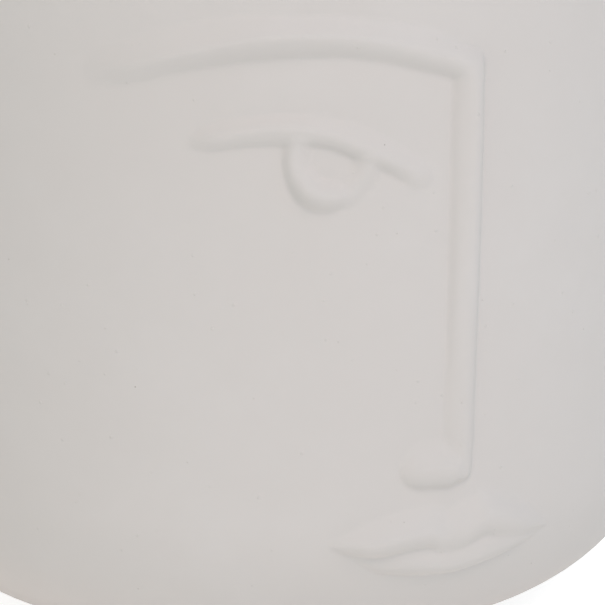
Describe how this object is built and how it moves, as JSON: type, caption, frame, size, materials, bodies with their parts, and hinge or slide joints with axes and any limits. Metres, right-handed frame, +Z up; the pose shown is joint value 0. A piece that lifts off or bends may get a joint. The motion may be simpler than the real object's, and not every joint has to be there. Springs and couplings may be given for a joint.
{
  "type": "face planter",
  "caption": "Round matte ceramic planter with a raised line face on its front, a rounded bottom on a foot ring, and a drain hole with a rubber plug and a net screen.",
  "frame": {"origin": "on the pot's axis, at the level of the table under the foot pads", "axes": "+Z up along the pot's axis; the face is on the front of the wall and looks along -Y; +X to the right as seen from the front"},
  "size_m": [0.2036, 0.2063, 0.198],
  "materials": {
    "glazed_ceramic": "matte off-white glaze with fine pinholes",
    "plug_rubber": "moulded, matte black",
    "net_plastic": "moulded, matte black",
    "pad_felt": "pressed grey felt"
  },
  "bodies": {
    "pot": {"pot": "glazed_ceramic", "foot_pad_1": "pad_felt", "foot_pad_2": "pad_felt", "foot_pad_3": "pad_felt", "foot_pad_4": "pad_felt"},
    "plug": {"drain_plug": "plug_rubber"},
    "screen": {"drain_screen": "net_plastic"}
  },
  "joints": [
    {"name": "plug_pull", "type": "slide", "parent": "pot", "child": "plug", "axis": [0, 0, -1], "range_m": [0, 0.04]},
    {"name": "screen_lift", "type": "slide", "parent": "pot", "child": "screen", "axis": [0, 0, 1], "range_m": [0, 0.2]}
  ]
}
